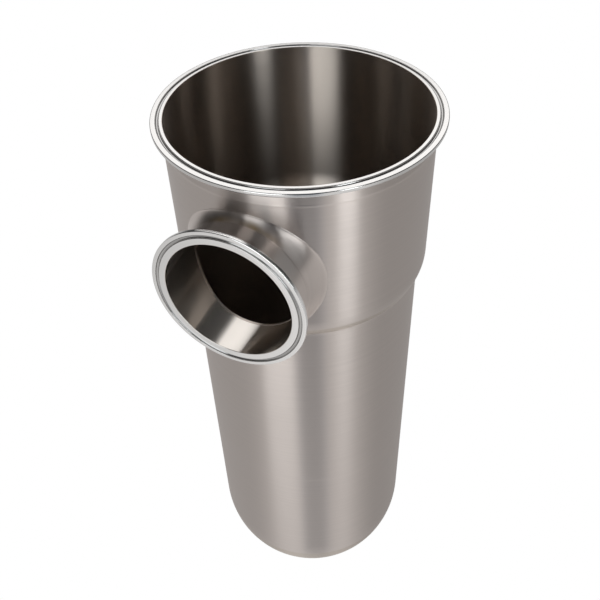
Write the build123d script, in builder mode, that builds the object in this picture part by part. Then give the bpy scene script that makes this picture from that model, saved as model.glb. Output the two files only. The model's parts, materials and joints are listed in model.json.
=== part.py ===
"""Hygienic basket strainer housing with an 8 inch clamp mouth and two 4 inch clamp ports.

Frame: origin at the centre of the mouth's sealing face, +Z up along the body,
-Y through the inlet port and +Y through the outlet port. Millimetres.
"""
import os
from math import acos, cos, pi, radians, sin

from build123d import *

os.makedirs("parts", exist_ok=True)

# --- driving dimensions ------------------------------------------------------
WALL = 2.0                     # sheet and tube wall of every shell
WELD = 2.0                     # width of a ground butt weld

CHAMBER_R = 203.2 / 2          # 8 inch tube
BODY_R = 191.0 / 2             # rolled lower body
SHOULDER_TOP_Z = -121.2        # where the chamber starts to curl in
SHOULDER_BEND_R = 30.6         # outside radius of that curl
GIRTH_Z = -337.0               # weld between lower shell and drawn bottom cup
CUP_SPRING_Z = -459.5          # where the cup's hemisphere starts

MOUTH_RIM_R = 217.4 / 2        # 8 inch clamp ferrule
MOUTH_GROOVE_R = 207.0 / 2
MOUTH_FERRULE_LENGTH = 14.0

PORT_R = 101.6 / 2             # 4 inch tube
PORT_RIM_R = 119.0 / 2         # 4 inch clamp ferrule
PORT_GROOVE_R = 110.3 / 2
PORT_FERRULE_LENGTH = 21.5
INLET_Z = -80.7
INLET_FACE = 130.9             # inlet sealing face to body axis
OUTLET_Z = -396.0
OUTLET_FACE = 124.0

RIM_EDGE = 2.85                # straight edge of every clamp rim
RIM_TAPER = 0.364              # tangent of the 20 degree back of the rim
GROOVE_HALF = 1.4              # gasket groove, half width and depth
GROOVE_DEPTH = 1.5
TAPER_ROOT_R = 2.0
INLET_ROOT_LEG = 5.5           # weld built up round the inlet's root, along neck and wall
OUTLET_ROOT_LEG = 3.5          # the same round the outlet's root
UPPER_SEAM_TURN = 0.0          # degrees from +Y to each rolled shell's closing seam
LOWER_SEAM_TURN = 35.0

SEAT_TOP_Z = GIRTH_Z           # ledge that carries the basket, just under the girth weld
SEAT_INNER_R = 85.0
SEAT_THICK = 4.0
SEAT_WELD = 2.0
GASKET_THICK = 2.0
GASKET_INNER_R = 86.0
GASKET_OUTER_R = 92.5

BASKET_RIM_R = 92.0
BASKET_RIM_THICK = 4.0
SLEEVE_R = 77.0                # perforated sleeve, outside
SLEEVE_WALL = 1.0
LINER_GAP = 0.2
LINER_WALL = 0.8               # woven liner inside the sleeve
BASKET_FLOOR_Z = -500.0
FLOOR_THICK = 2.0
HOOP_HEIGHT = 12.0
HOOP_WALL = 1.5
HOOP_Z = (-370.0, -430.0, -490.0)

BAIL_TURN = 0.0                # degrees from +X to the pivots
ROD_R = 3.0                    # bail wire
BOW_R = 80.0                   # bail bow, centre line
BEND_R = 6.0                   # bend from bow to pivot stub
PIVOT_RISE = 4.5               # pivot above the basket rim
PIVOT_CLEARANCE = 0.08
LUG_INNER_X = 86.5
LUG_THICK = 3.0
LUG_HALF_WIDTH = 7.0
WASHER_R = 4.2
WASHER_THICK = 1.5
WASHER_GAP = 0.2
STUB_END_X = 91.8

# --- derived places ----------------------------------------------------------
CHAMBER_IN_R = CHAMBER_R - WALL
BODY_IN_R = BODY_R - WALL
PORT_IN_R = PORT_R - WALL
BEND_CENTRE_R = CHAMBER_R - SHOULDER_BEND_R
BEND_ANGLE = acos((BODY_R - BEND_CENTRE_R) / SHOULDER_BEND_R)
CORNER_Z = SHOULDER_TOP_Z - SHOULDER_BEND_R * sin(BEND_ANGLE)
CHAMBER_TOP_Z = -MOUTH_FERRULE_LENGTH - WELD
BASKET_RIM_Z = SEAT_TOP_Z + GASKET_THICK + BASKET_RIM_THICK
PIVOT_Z = BASKET_RIM_Z + PIVOT_RISE
BASKET_WALL_TOP = BASKET_RIM_Z - BASKET_RIM_THICK
LINER_OUT_R = SLEEVE_R - SLEEVE_WALL - LINER_GAP
LINER_IN_R = LINER_OUT_R - LINER_WALL


def save(builder, name):
    """Label one finished piece and write it as its own node."""
    builder.part.label = name
    export_step(builder.part, f"parts/{name}.step")


def ring_section(inner_r, outer_r, low_z, high_z):
    """Rectangle in the XZ half plane, for revolved rings about the body axis."""
    with BuildSketch(Plane.XZ) as section:
        with BuildLine():
            Polyline(
                (inner_r, low_z), (outer_r, low_z), (outer_r, high_z), (inner_r, high_z), close=True
            )
        make_face()
    return section.sketch


def ferrule_section(plane, bore_r, neck_r, rim_r, groove_r, length):
    """Clamp ferrule: sealing face at local y 0, gasket groove, rim edge, 20 degree back, neck."""
    root_y = -RIM_EDGE - (rim_r - neck_r) * RIM_TAPER
    with BuildSketch(plane) as section:
        with BuildLine():
            Line((bore_r, 0), (groove_r - GROOVE_HALF, 0))
            ThreePointArc(
                (groove_r - GROOVE_HALF, 0), (groove_r, -GROOVE_DEPTH), (groove_r + GROOVE_HALF, 0)
            )
            Polyline(
                (groove_r + GROOVE_HALF, 0),
                (rim_r, 0),
                (rim_r, -RIM_EDGE),
                (neck_r, root_y),
                (neck_r, -length),
                (bore_r, -length),
                (bore_r, 0),
            )
        make_face()
        root = plane.from_local_coords((neck_r, root_y, 0))
        fillet(section.vertices().sort_by_distance(root)[0], TAPER_ROOT_R)
    return section.sketch


def curl_point(radius, angle):
    """Point on the shoulder's curl, at this radius about the bend centre."""
    return (BEND_CENTRE_R + radius * cos(angle), SHOULDER_TOP_Z - radius * sin(angle))


def chamber_section(outer_r, inner_r):
    """Chamber wall between two radii, straight and then curling in to the corner.

    An inner radius of zero gives the solid core inside the outer radius.
    """
    outer_bend = outer_r - BEND_CENTRE_R
    inner_bend = inner_r - BEND_CENTRE_R
    outer_end = curl_point(outer_bend, BEND_ANGLE)
    with BuildSketch(Plane.XZ) as section:
        with BuildLine():
            Line((outer_r, CHAMBER_TOP_Z), (outer_r, SHOULDER_TOP_Z))
            ThreePointArc((outer_r, SHOULDER_TOP_Z), curl_point(outer_bend, BEND_ANGLE / 2), outer_end)
            if inner_r == 0:
                Polyline(outer_end, (0, outer_end[1]), (0, CHAMBER_TOP_Z), (outer_r, CHAMBER_TOP_Z))
            else:
                inner_end = curl_point(inner_bend, BEND_ANGLE)
                Line(outer_end, inner_end)
                ThreePointArc(inner_end, curl_point(inner_bend, BEND_ANGLE / 2), (inner_r, SHOULDER_TOP_Z))
                Polyline((inner_r, SHOULDER_TOP_Z), (inner_r, CHAMBER_TOP_Z), (outer_r, CHAMBER_TOP_Z))
        make_face()
    return section.sketch


def port_plane(side, face, height):
    """Plane of a port: local x across, local y out along the port from its sealing face."""
    return Plane(origin=(0, side * face, height), x_dir=(1, 0, 0), z_dir=(0, 0, side))


def port_axis(side, face, height):
    return Axis((0, side * face, height), (0, side, 0))


def port_disc(side, height, radius, start, end):
    """Solid cylinder along a port, from start to end measured from the body axis."""
    with BuildPart() as disc:
        with BuildSketch(Plane(origin=(0, side * start, height), z_dir=(0, side, 0))):
            Circle(radius)
        extrude(amount=end - start)
    return disc.part


def port_tube(side, height, inner_r, outer_r, start, end):
    """Straight tube along a port, from start to end measured from the body axis."""
    with BuildPart() as tube:
        with BuildSketch(Plane(origin=(0, side * start, height), z_dir=(0, side, 0))):
            Circle(outer_r)
            Circle(inner_r, mode=Mode.SUBTRACT)
        extrude(amount=end - start)
    return tube.part


def seam_strip(turn, low_z, high_z):
    """Upright strip through one side of a shell, where the rolled sheet was closed."""
    with BuildPart() as strip:
        with Locations(Location((0, 0, 0), (0, 0, turn))):
            Box(
                WELD, CHAMBER_R + WALL, high_z - low_z,
                align=(Align.CENTER, Align.MIN, Align.MIN),
            )
    return strip.part.moved(Location((0, 0, low_z)))


# --- solid cores, used to trim the ports where they stand on the shells ------
with BuildPart() as chamber_core:
    revolve(chamber_section(CHAMBER_R, 0), axis=Axis.Z)

with BuildPart() as chamber_weld_envelope:
    revolve(chamber_section(CHAMBER_R + INLET_ROOT_LEG, 0), axis=Axis.Z)

with BuildPart() as body_core:
    revolve(ring_section(0, BODY_R, CUP_SPRING_Z, CORNER_Z), axis=Axis.Z)

with BuildPart() as body_weld_envelope:
    revolve(ring_section(0, BODY_R + OUTLET_ROOT_LEG, CUP_SPRING_Z, CORNER_Z), axis=Axis.Z)

# --- mouth -------------------------------------------------------------------
with BuildPart() as top_ferrule:
    revolve(
        ferrule_section(
            Plane.XZ, CHAMBER_IN_R, CHAMBER_R, MOUTH_RIM_R, MOUTH_GROOVE_R, MOUTH_FERRULE_LENGTH
        ),
        axis=Axis.Z,
    )
save(top_ferrule, "top_ferrule")

with BuildPart() as top_ferrule_weld:
    revolve(ring_section(CHAMBER_IN_R, CHAMBER_R, CHAMBER_TOP_Z, -MOUTH_FERRULE_LENGTH), axis=Axis.Z)
save(top_ferrule_weld, "top_ferrule_weld")

# --- chamber -----------------------------------------------------------------
with BuildPart() as upper_shell:
    revolve(chamber_section(CHAMBER_R, CHAMBER_IN_R), axis=Axis.Z)
    add(port_disc(-1, INLET_Z, PORT_IN_R, 0, CHAMBER_R + WALL), mode=Mode.SUBTRACT)
    add(seam_strip(UPPER_SEAM_TURN, CORNER_Z - WALL, CHAMBER_TOP_Z), mode=Mode.SUBTRACT)
save(upper_shell, "upper_shell")

with BuildPart() as upper_seam_weld:
    revolve(chamber_section(CHAMBER_R, CHAMBER_IN_R), axis=Axis.Z)
    add(seam_strip(UPPER_SEAM_TURN, CORNER_Z - WALL, CHAMBER_TOP_Z), mode=Mode.INTERSECT)
save(upper_seam_weld, "upper_seam_weld")

# --- inlet port --------------------------------------------------------------
INLET_WELD_START = INLET_FACE - PORT_FERRULE_LENGTH - WELD
INLET_WELD_END = INLET_FACE - PORT_FERRULE_LENGTH

with BuildPart() as inlet_ferrule:
    revolve(
        ferrule_section(
            port_plane(-1, INLET_FACE, INLET_Z),
            PORT_IN_R, PORT_R, PORT_RIM_R, PORT_GROOVE_R, PORT_FERRULE_LENGTH,
        ),
        axis=port_axis(-1, INLET_FACE, INLET_Z),
    )
save(inlet_ferrule, "inlet_ferrule")

with BuildPart() as inlet_ferrule_weld:
    add(port_tube(-1, INLET_Z, PORT_IN_R, PORT_R, INLET_WELD_START, INLET_WELD_END))
save(inlet_ferrule_weld, "inlet_ferrule_weld")

with BuildPart() as inlet_neck:
    add(port_tube(-1, INLET_Z, PORT_IN_R, PORT_R, BEND_CENTRE_R, INLET_WELD_START))
    add(chamber_core.part, mode=Mode.SUBTRACT)
save(inlet_neck, "inlet_neck")

with BuildPart() as inlet_branch_weld:
    add(port_tube(-1, INLET_Z, PORT_R, PORT_R + INLET_ROOT_LEG, BEND_CENTRE_R, INLET_WELD_START))
    add(chamber_weld_envelope.part, mode=Mode.INTERSECT)
    add(chamber_core.part, mode=Mode.SUBTRACT)
save(inlet_branch_weld, "inlet_branch_weld")

# --- lower body --------------------------------------------------------------
SHOULDER_WELD_LOW_Z = CORNER_Z - WELD

with BuildPart() as shoulder_weld:
    curl_inner_end = curl_point(CHAMBER_IN_R - BEND_CENTRE_R, BEND_ANGLE)
    with BuildSketch(Plane.XZ):
        with BuildLine():
            Polyline(
                (BODY_IN_R, SHOULDER_WELD_LOW_Z),
                (BODY_R, SHOULDER_WELD_LOW_Z),
                (BODY_R, CORNER_Z),
                curl_inner_end,
                (BODY_IN_R, curl_inner_end[1]),
                close=True,
            )
        make_face()
    revolve(axis=Axis.Z)
save(shoulder_weld, "shoulder_weld")

with BuildPart() as lower_shell:
    revolve(ring_section(BODY_IN_R, BODY_R, GIRTH_Z + WELD, SHOULDER_WELD_LOW_Z), axis=Axis.Z)
    add(seam_strip(LOWER_SEAM_TURN, GIRTH_Z, SHOULDER_WELD_LOW_Z), mode=Mode.SUBTRACT)
save(lower_shell, "lower_shell")

with BuildPart() as lower_seam_weld:
    revolve(ring_section(BODY_IN_R, BODY_R, GIRTH_Z + WELD, SHOULDER_WELD_LOW_Z), axis=Axis.Z)
    add(seam_strip(LOWER_SEAM_TURN, GIRTH_Z, SHOULDER_WELD_LOW_Z), mode=Mode.INTERSECT)
save(lower_seam_weld, "lower_seam_weld")

with BuildPart() as girth_weld:
    revolve(ring_section(BODY_IN_R, BODY_R, GIRTH_Z, GIRTH_Z + WELD), axis=Axis.Z)
save(girth_weld, "girth_weld")

with BuildPart() as bottom_cup:
    with BuildSketch(Plane.XZ):
        with BuildLine():
            Line((BODY_R, GIRTH_Z), (BODY_R, CUP_SPRING_Z))
            CenterArc((0, CUP_SPRING_Z), BODY_R, 0, -90)
            Line((0, CUP_SPRING_Z - BODY_R), (0, CUP_SPRING_Z - BODY_IN_R))
            CenterArc((0, CUP_SPRING_Z), BODY_IN_R, 0, -90)
            Polyline((BODY_IN_R, CUP_SPRING_Z), (BODY_IN_R, GIRTH_Z), (BODY_R, GIRTH_Z))
        make_face()
    revolve(axis=Axis.Z)
    add(port_disc(1, OUTLET_Z, PORT_IN_R, 0, BODY_R + WALL), mode=Mode.SUBTRACT)
save(bottom_cup, "bottom_cup")

# --- outlet port -------------------------------------------------------------
OUTLET_WELD_START = OUTLET_FACE - PORT_FERRULE_LENGTH - WELD
OUTLET_WELD_END = OUTLET_FACE - PORT_FERRULE_LENGTH

with BuildPart() as outlet_ferrule:
    revolve(
        ferrule_section(
            port_plane(1, OUTLET_FACE, OUTLET_Z),
            PORT_IN_R, PORT_R, PORT_RIM_R, PORT_GROOVE_R, PORT_FERRULE_LENGTH,
        ),
        axis=port_axis(1, OUTLET_FACE, OUTLET_Z),
    )
save(outlet_ferrule, "outlet_ferrule")

with BuildPart() as outlet_ferrule_weld:
    add(port_tube(1, OUTLET_Z, PORT_IN_R, PORT_R, OUTLET_WELD_START, OUTLET_WELD_END))
save(outlet_ferrule_weld, "outlet_ferrule_weld")

with BuildPart() as outlet_neck:
    add(port_tube(1, OUTLET_Z, PORT_IN_R, PORT_R, BEND_CENTRE_R, OUTLET_WELD_START))
    add(body_core.part, mode=Mode.SUBTRACT)
save(outlet_neck, "outlet_neck")

with BuildPart() as outlet_branch_weld:
    add(port_tube(1, OUTLET_Z, PORT_R, PORT_R + OUTLET_ROOT_LEG, BEND_CENTRE_R, OUTLET_WELD_START))
    add(body_weld_envelope.part, mode=Mode.INTERSECT)
    add(body_core.part, mode=Mode.SUBTRACT)
save(outlet_branch_weld, "outlet_branch_weld")

# --- basket seat -------------------------------------------------------------
with BuildPart() as seat_ring:
    revolve(ring_section(SEAT_INNER_R, BODY_IN_R, SEAT_TOP_Z - SEAT_THICK, SEAT_TOP_Z), axis=Axis.Z)
save(seat_ring, "seat_ring")

with BuildPart() as seat_ring_weld:
    seat_low_z = SEAT_TOP_Z - SEAT_THICK
    with BuildSketch(Plane.XZ):
        with BuildLine():
            Polyline(
                (BODY_IN_R, seat_low_z),
                (BODY_IN_R, seat_low_z - SEAT_WELD),
                (BODY_IN_R - SEAT_WELD, seat_low_z),
                close=True,
            )
        make_face()
    revolve(axis=Axis.Z)
save(seat_ring_weld, "seat_ring_weld")

with BuildPart() as seat_gasket:
    revolve(
        ring_section(GASKET_INNER_R, GASKET_OUTER_R, SEAT_TOP_Z, SEAT_TOP_Z + GASKET_THICK),
        axis=Axis.Z,
    )
    fillet(seat_gasket.edges().group_by(Axis.Z)[-1], GASKET_THICK / 4)
save(seat_gasket, "seat_gasket")

# --- basket ------------------------------------------------------------------
with BuildPart() as basket_rim:
    revolve(
        ring_section(LINER_IN_R, BASKET_RIM_R, BASKET_WALL_TOP, BASKET_RIM_Z), axis=Axis.Z
    )
    fillet(basket_rim.edges().group_by(Axis.Z)[-1], 1.0)
save(basket_rim, "basket_rim")

with BuildPart() as basket_sleeve:
    revolve(
        ring_section(SLEEVE_R - SLEEVE_WALL, SLEEVE_R, BASKET_FLOOR_Z, BASKET_WALL_TOP), axis=Axis.Z
    )
save(basket_sleeve, "basket_sleeve")

with BuildPart() as basket_liner:
    revolve(
        ring_section(LINER_IN_R, LINER_OUT_R, BASKET_FLOOR_Z, BASKET_WALL_TOP), axis=Axis.Z
    )
save(basket_liner, "basket_liner")

with BuildPart() as basket_floor:
    revolve(
        ring_section(0, SLEEVE_R, BASKET_FLOOR_Z - FLOOR_THICK, BASKET_FLOOR_Z), axis=Axis.Z
    )
save(basket_floor, "basket_floor")

for hoop_name, hoop_z in zip(("upper", "middle", "lower"), HOOP_Z):
    with BuildPart() as hoop:
        revolve(
            ring_section(
                SLEEVE_R, SLEEVE_R + HOOP_WALL, hoop_z - HOOP_HEIGHT / 2, hoop_z + HOOP_HEIGHT / 2
            ),
            axis=Axis.Z,
        )
    save(hoop, f"basket_hoop_{hoop_name}")

# --- bail and its lugs -------------------------------------------------------
# Local frame of the bail: x along the pivots, y towards the folded bow, z up.
bail_plane = Plane(
    origin=(0, 0, PIVOT_Z),
    x_dir=(cos(radians(BAIL_TURN)), sin(radians(BAIL_TURN)), 0),
    z_dir=(0, 0, 1),
)


def pivot_plane(local_x):
    """Plane square to the pivots at this distance from the basket axis, drawn across and up."""
    return Plane(
        origin=bail_plane.from_local_coords((local_x, 0, 0)),
        x_dir=bail_plane.y_dir,
        z_dir=bail_plane.x_dir,
    )


for lug_name, lug_side in (("left", -1), ("right", 1)):
    with BuildPart() as lug:
        with BuildSketch(pivot_plane(lug_side * (LUG_INNER_X + LUG_THICK / 2))):
            Circle(LUG_HALF_WIDTH)
            with Locations((0, -PIVOT_RISE)):
                Rectangle(2 * LUG_HALF_WIDTH, PIVOT_RISE, align=(Align.CENTER, Align.MIN))
                Rectangle(
                    2 * LUG_HALF_WIDTH, 2 * LUG_HALF_WIDTH,
                    align=(Align.CENTER, Align.MAX), mode=Mode.SUBTRACT,
                )
            Circle(ROD_R + PIVOT_CLEARANCE, mode=Mode.SUBTRACT)
        extrude(amount=LUG_THICK / 2, both=True)
    save(lug, f"bail_lug_{lug_name}")

with BuildPart() as bail_handle:
    turn_x = BOW_R + BEND_R
    half_turn = BEND_R * (1 - sin(pi / 4))
    with BuildLine(bail_plane):
        Line((STUB_END_X, 0), (turn_x, 0))
        ThreePointArc((turn_x, 0), (BOW_R + half_turn, half_turn), (BOW_R, BEND_R))
        CenterArc((0, BEND_R), BOW_R, 0, 180)
        ThreePointArc((-BOW_R, BEND_R), (-BOW_R - half_turn, half_turn), (-turn_x, 0))
        Line((-turn_x, 0), (-STUB_END_X, 0))
    with BuildSketch(pivot_plane(STUB_END_X)):
        Circle(ROD_R)
    sweep()
save(bail_handle, "bail_handle")

for washer_name, washer_side in (("left", -1), ("right", 1)):
    washer_middle = LUG_INNER_X + LUG_THICK + WASHER_GAP + WASHER_THICK / 2
    with BuildPart() as washer:
        with BuildSketch(pivot_plane(washer_side * washer_middle)):
            Circle(WASHER_R)
            Circle(ROD_R, mode=Mode.SUBTRACT)
        extrude(amount=WASHER_THICK / 2, both=True)
    save(washer, f"bail_washer_{washer_name}")
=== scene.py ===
"""Looks of the hygienic basket strainer housing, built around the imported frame.

Metres, in the frame of the part: origin at the centre of the mouth's sealing face, +Z up,
inlet port towards -Y, outlet port towards +Y.
"""
import json
import math

import bmesh
import bpy
import numpy as np
from mathutils import Matrix, Vector

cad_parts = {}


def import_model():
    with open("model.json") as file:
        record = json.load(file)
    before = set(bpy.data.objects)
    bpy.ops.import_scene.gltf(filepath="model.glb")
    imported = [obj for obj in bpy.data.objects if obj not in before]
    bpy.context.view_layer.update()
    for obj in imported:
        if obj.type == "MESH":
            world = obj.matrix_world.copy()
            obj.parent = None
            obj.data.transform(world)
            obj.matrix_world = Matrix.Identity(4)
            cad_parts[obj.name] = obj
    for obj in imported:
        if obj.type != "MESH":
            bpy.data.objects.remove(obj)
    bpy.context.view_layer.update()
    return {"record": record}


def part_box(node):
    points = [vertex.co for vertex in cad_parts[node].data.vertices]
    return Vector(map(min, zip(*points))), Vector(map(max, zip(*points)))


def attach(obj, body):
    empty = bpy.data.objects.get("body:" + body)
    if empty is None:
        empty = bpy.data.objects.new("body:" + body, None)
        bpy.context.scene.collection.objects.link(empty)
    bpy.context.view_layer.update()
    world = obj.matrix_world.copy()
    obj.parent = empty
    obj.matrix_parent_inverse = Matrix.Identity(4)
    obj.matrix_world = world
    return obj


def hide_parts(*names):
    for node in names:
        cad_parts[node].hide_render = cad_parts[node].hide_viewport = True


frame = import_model()

# --- sizes, from the frame and from the sheet the real part is made of ---------
MM = 0.001
TAU = 2 * math.pi
mounts = {m["name"]: m for m in frame["record"]["mounts"]}


def mount_radius(name):
    return mounts[name]["dims"]["r_mm"] * MM


def low(node):
    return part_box(node)[0]


def high(node):
    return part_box(node)[1]


WALL = 2.0 * MM
CHAMBER_IN_R = mount_radius("mouth_bore")
CHAMBER_R = CHAMBER_IN_R + WALL
MOUTH_RIM_R = mount_radius("mouth_rim")
MOUTH_GROOVE_R = 103.5 * MM
PORT_IN_R = mount_radius("inlet_bore")
PORT_R = PORT_IN_R + WALL
PORT_RIM_R = mount_radius("inlet_rim")
PORT_GROOVE_R = 55.15 * MM
BODY_R = 95.5 * MM
BODY_IN_R = BODY_R - WALL
RIM_EDGE = 2.85 * MM
RIM_TAPER = 0.364
GROOVE_HALF = 1.4 * MM
GROOVE_DEPTH = 1.5 * MM

SHOULDER_BEND_R = 30.6 * MM
BEND_CENTRE_R = CHAMBER_R - SHOULDER_BEND_R
BEND_ANGLE = math.acos((BODY_R - BEND_CENTRE_R) / SHOULDER_BEND_R)
CHAMBER_TOP_Z = high("upper_shell")[2]
CORNER_Z = low("upper_shell")[2]
SHOULDER_TOP_Z = CORNER_Z + SHOULDER_BEND_R * math.sin(BEND_ANGLE)
INLET_Z = mounts["inlet_bore"]["pos_m"][2]
OUTLET_Z = mounts["outlet_bore"]["pos_m"][2]
INLET_FACE = -low("inlet_ferrule")[1]
OUTLET_FACE = high("outlet_ferrule")[1]
CUP_SPRING_Z = low("bottom_cup")[2] + BODY_R

UPPER_SEAM_TURN = 0.0          # from +Y to each rolled shell's closing seam
LOWER_SEAM_TURN = math.radians(35)

RIM_FRONT_EASE = 0.6 * MM      # rounding of a clamp rim's front edge, back edge, taper root and bore edge
RIM_BACK_EASE = 0.7 * MM
TAPER_ROOT_R = 2.0 * MM
BORE_EASE = 0.35 * MM
GROOVE_EASE = 0.15 * MM

ROUND = 360                    # columns around a large surface
PORT_ROUND = 240               # columns around a port
GROOVE_POINTS = 15             # points across a gasket groove
RING_GROWTH = 1.25             # above 1, the rings of a port patch lie closer near the hole
MERGE_DISTANCE = 2e-6
NEEDLE_LENGTH = 1e-7
TINY = 1e-9


# --- meshes --------------------------------------------------------------------
def quads(rows, cols, wrap):
    """Corner indices of every cell of a rows x cols grid of points, closed along the columns if wrap."""
    r = np.arange(rows - 1)[:, None]
    c = np.arange(cols if wrap else cols - 1)[None, :]
    c2 = (c + 1) % cols
    return np.stack([r * cols + c, r * cols + c2, (r + 1) * cols + c2, (r + 1) * cols + c], -1).reshape(-1, 4)


def joined(parts):
    """One point array and one face array from several (points, faces) pairs."""
    points, faces, start = [], [], 0
    for p, f in parts:
        p = np.asarray(p, float).reshape(-1, 3)
        points.append(p)
        faces.append(np.asarray(f) + start)
        start += len(p)
    return np.concatenate(points), np.concatenate(faces)


def make_piece(name, parts, finish, body, *nodes, crease=35.0):
    """A closed piece from (points, faces) pairs: shared points merged, faces out, sharp past the crease."""
    points, faces = joined(parts)
    mesh = bpy.data.meshes.new(name)
    mesh.from_pydata(points.tolist(), [], faces.tolist())
    bm = bmesh.new()
    bm.from_mesh(mesh)
    bmesh.ops.remove_doubles(bm, verts=bm.verts, dist=MERGE_DISTANCE)
    bmesh.ops.dissolve_degenerate(bm, edges=bm.edges, dist=NEEDLE_LENGTH)
    bmesh.ops.recalc_face_normals(bm, faces=bm.faces)
    bm.to_mesh(mesh)
    bm.free()
    mesh.polygons.foreach_set("use_smooth", np.ones(len(mesh.polygons), bool))
    mesh.set_sharp_from_angle(angle=math.radians(crease))
    mesh.materials.append(finish)
    piece = bpy.data.objects.new(name, mesh)
    bpy.context.scene.collection.objects.link(piece)
    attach(piece, body)
    if nodes:
        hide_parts(*nodes)
    return piece


def rounded(corners, radii, steps=6, support=0.25 * MM):
    """Closed outline through the corners, each turned on its own radius (0 keeps it sharp).

    An arc of radius r replaces a corner, and a support point on each side keeps the flats flat.
    """
    corners = np.asarray(corners, float)
    out = []
    for i, (corner, radius) in enumerate(zip(corners, radii)):
        before = corners[i - 1] - corner
        after = corners[(i + 1) % len(corners)] - corner
        room_before, room_after = np.linalg.norm(before), np.linalg.norm(after)
        a, b = before / room_before, after / room_after
        if radius == 0:
            reach = 0.0
            arc = corner[None, :]
        else:
            half = math.acos(np.clip(a @ b, -1, 1)) / 2
            reach = radius / math.tan(half)
            middle = corner + (a + b) / np.linalg.norm(a + b) * radius / math.sin(half)
            start = corner + a * reach - middle
            turn = math.pi - 2 * half
            end = corner + b * reach - middle
            sign = np.sign(start[0] * end[1] - start[1] * end[0])
            t = np.linspace(0, turn, steps + 1) * sign
            arc = middle + np.stack(
                [start[0] * np.cos(t) - start[1] * np.sin(t), start[0] * np.sin(t) + start[1] * np.cos(t)], -1
            )
        if room_before > 3 * (reach + support):
            out.append((corner + a * (reach + support))[None, :])
        out.append(arc)
        if room_after > 3 * (reach + support):
            out.append((corner + b * (reach + support))[None, :])
    return np.concatenate(out)


def turned(outline, columns=ROUND, centre=(0, 0, 0), axis="Z", closed=True):
    """Surface of revolution: outline points (radius, height) turned about the axis through centre.

    Point = centre + radius * (cos t, sin t) across the axis + height along it.
    """
    outline = np.asarray(outline, float)
    t = np.arange(columns) * TAU / columns
    radius, along = outline[:, 0][:, None], outline[:, 1][:, None]
    across = radius * np.cos(t)
    other = radius * np.sin(t)
    along = np.broadcast_to(along, across.shape)
    if axis == "Z":
        points = np.stack([across, other, along], -1)
    else:
        sign = 1.0 if axis == "Y" else -1.0
        points = np.stack([across, sign * along, other], -1)
    points = points + np.asarray(centre)
    rows = len(outline)
    if closed:
        points = np.concatenate([points, points[:1]])
        rows += 1
    return points, quads(rows, columns, True)


def ferrule_outline(bore_r, neck_r, rim_r, groove_r, length):
    """Clamp ferrule section (radius, height), with its gasket groove as part of a circle."""
    root = -RIM_EDGE - (rim_r - neck_r) * RIM_TAPER
    sag = (GROOVE_HALF**2 + GROOVE_DEPTH**2) / (2 * GROOVE_DEPTH)
    lift = sag - GROOVE_DEPTH
    swing = math.asin(min(1.0, GROOVE_HALF / sag)) if lift > 0 else math.pi - math.asin(GROOVE_HALF / sag)
    t = np.linspace(-swing, swing, GROOVE_POINTS)
    groove = np.stack([groove_r + sag * np.sin(t), lift - sag * np.cos(t)], -1)
    rim = [(rim_r, 0), (rim_r, -RIM_EDGE), (neck_r, root), (neck_r, -length), (bore_r, -length)]
    radii = [BORE_EASE, GROOVE_EASE, *[0] * (GROOVE_POINTS - 2), GROOVE_EASE]
    radii += [RIM_FRONT_EASE, RIM_BACK_EASE, TAPER_ROOT_R, 0, 0]
    return rounded([(bore_r, 0), *groove, *rim], radii)


def chamber_radius(z, outer_r):
    """Radius of the chamber wall at height z: straight, then curling in on the shoulder's bend."""
    bend = outer_r - BEND_CENTRE_R
    drop = np.clip(SHOULDER_TOP_Z - z, 0, bend * 0.999)
    return BEND_CENTRE_R + np.sqrt(bend**2 - drop**2)


def ported_skin(radius_at, heights, port_z, hole_r, side, half_width, across, rings, around):
    """One skin of a round wall with a port hole.

    Off the port it is a plain grid of angle and height. Round the port, rays run from the hole's
    edge (x = hole_r cos t, z = port_z + hole_r sin t) to the rim of a rectangle of angle and height.
    Returns both as (points, faces), the hole's loop, the top and bottom loops and their angles.
    """
    heights = np.asarray(heights, float)
    spread = np.linspace(-half_width, half_width, across + 1)

    def place(angle, z):
        r = radius_at(z)
        return np.stack([r * np.sin(angle), side * r * np.cos(angle), z], -1)

    upright = np.full(len(heights) - 1, half_width)
    edge_angle = np.concatenate([spread[:-1], upright, spread[::-1][:-1], -upright])
    edge_z = np.concatenate([
        np.full(across, heights[0]), heights[:-1], np.full(across, heights[-1]), heights[::-1][:-1]
    ])
    reach = radius_at(np.array([port_z]))[0]
    t = np.arctan2(edge_z - port_z, edge_angle * reach)
    hole_z = port_z + hole_r * np.sin(t)
    hole_angle = np.arcsin(hole_r * np.cos(t) / radius_at(hole_z))
    s = np.linspace(0, 1, rings + 1)[:, None] ** RING_GROWTH
    patch = place(hole_angle + (edge_angle - hole_angle) * s, hole_z + (edge_z - hole_z) * s)
    rest_angle = np.linspace(half_width, TAU - half_width, around + 1)
    grid_angle, grid_z = np.meshgrid(rest_angle, heights)
    rest = place(grid_angle, grid_z)
    loop_angle = np.concatenate([spread, rest_angle[1:-1]])
    top = place(loop_angle, np.full(len(loop_angle), heights[0]))
    bottom = place(loop_angle, np.full(len(loop_angle), heights[-1]))
    skins = [
        (patch, quads(rings + 1, patch.shape[1], True)),
        (rest, quads(len(heights), around + 1, False)),
    ]
    return skins, patch[0], top, bottom, loop_angle


def bridge(loop_a, loop_b):
    """Faces between two closed loops with the same number of points."""
    return np.stack([loop_a, loop_b]), quads(2, len(loop_a), True)


# --- finishes --------------------------------------------------------------------
def new_group(name, inputs, outputs):
    group = bpy.data.node_groups.new(name, "ShaderNodeTree")
    for label, kind, value in inputs:
        socket = group.interface.new_socket(label, in_out="INPUT", socket_type=kind)
        if value is not None:
            socket.default_value = value
    for label, kind in outputs:
        group.interface.new_socket(label, in_out="OUTPUT", socket_type=kind)
    return group, group.nodes.new("NodeGroupInput"), group.nodes.new("NodeGroupOutput")


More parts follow.
